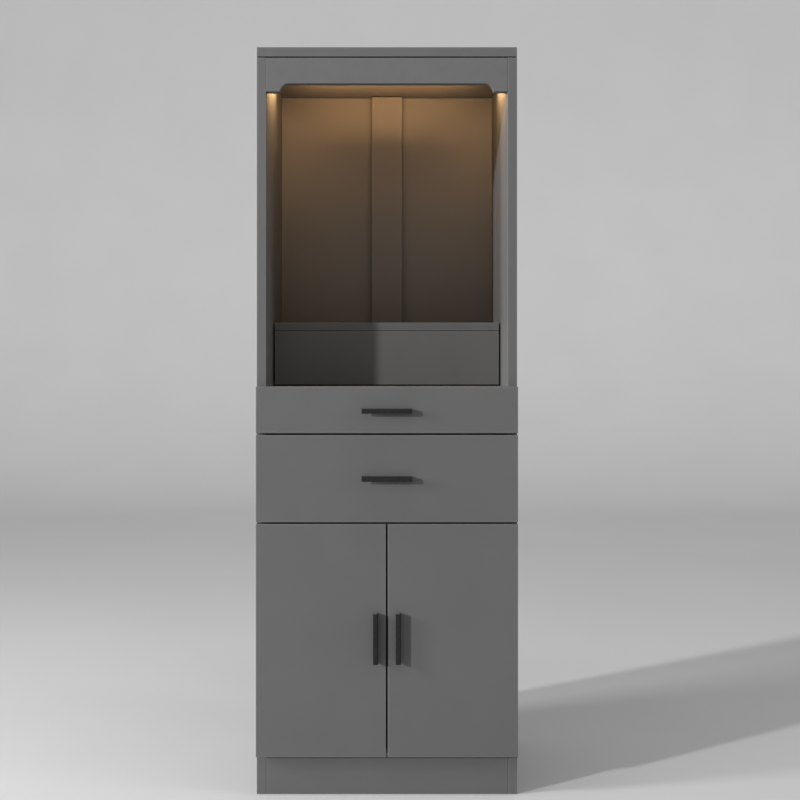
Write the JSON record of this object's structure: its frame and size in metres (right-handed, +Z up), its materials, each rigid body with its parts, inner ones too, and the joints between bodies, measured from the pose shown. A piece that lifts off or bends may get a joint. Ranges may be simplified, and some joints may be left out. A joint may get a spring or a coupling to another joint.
{
  "type": "household altar cabinet",
  "caption": "Tall matt grey cabinet with an open lit niche and raised step above, drawers below it and a cupboard with doors at the foot.",
  "frame": {"origin": "on the floor, below the middle of the cabinet's box with its handles", "axes": "+X to the viewer's right, +Y into the depth, +Z up; the fronts face -Y"},
  "size_m": [0.61, 0.4364, 1.75],
  "materials": {
    "lacquer": "matt grey lacquer on board",
    "interior": "matt grey laminate on board",
    "handle": "matt dark powder coat",
    "steel": "zinc-plated pressed steel",
    "channel": "satin extrusion",
    "diffuser": "frosted cover, lit warm"
  },
  "bodies": {
    "carcass": {"side_panel_left": "lacquer", "side_panel_right": "lacquer", "top_board": "lacquer", "valance": "lacquer", "altar_deck": "lacquer", "cupboard_divider": "interior", "cupboard_floor": "interior", "plinth_board": "lacquer", "back_panel": "lacquer", "back_batten": "lacquer", "step_top": "lacquer", "step_riser": "lacquer", "step_end_left": "lacquer", "step_end_right": "lacquer", "light_channel": "channel", "light_diffuser": "diffuser", "runner_cabinet_upper_left": "steel", "runner_cabinet_upper_right": "steel", "runner_cabinet_lower_left": "steel", "runner_cabinet_lower_right": "steel", "hinge_arm_left_lower": "steel", "hinge_arm_left_upper": "steel", "hinge_arm_right_lower": "steel", "hinge_arm_right_upper": "steel"},
    "drawer_upper": {"drawer_front_upper": "lacquer", "drawer_side_upper_left": "interior", "drawer_side_upper_right": "interior", "drawer_bottom_upper": "interior", "drawer_back_upper": "interior", "drawer_handle_upper": "handle", "runner_drawer_upper_left": "steel", "runner_drawer_upper_right": "steel"},
    "drawer_lower": {"drawer_front_lower": "lacquer", "drawer_side_lower_left": "interior", "drawer_side_lower_right": "interior", "drawer_bottom_lower": "interior", "drawer_back_lower": "interior", "drawer_handle_lower": "handle", "runner_drawer_lower_left": "steel", "runner_drawer_lower_right": "steel"},
    "door_left": {"door_panel_left": "lacquer", "door_handle_left": "handle", "hinge_cup_left_lower": "steel", "hinge_cup_left_upper": "steel"},
    "door_right": {"door_panel_right": "lacquer", "door_handle_right": "handle", "hinge_cup_right_lower": "steel", "hinge_cup_right_upper": "steel"}
  },
  "joints": [
    {"name": "drawer_upper_slide", "type": "slide", "parent": "carcass", "child": "drawer_upper", "axis": [0, -1, 0], "range_m": [0, 0.26]},
    {"name": "drawer_lower_slide", "type": "slide", "parent": "carcass", "child": "drawer_lower", "axis": [0, -1, 0], "range_m": [0, 0.26]},
    {"name": "door_left_hinge", "type": "hinge", "parent": "carcass", "child": "door_left", "pos_m": [-0.305, -0.20185, 0.36375], "axis": [0, 0, -1], "range_deg": [0, 105]},
    {"name": "door_right_hinge", "type": "hinge", "parent": "carcass", "child": "door_right", "pos_m": [0.305, -0.20185, 0.36375], "axis": [0, 0, 1], "range_deg": [0, 105]}
  ]
}
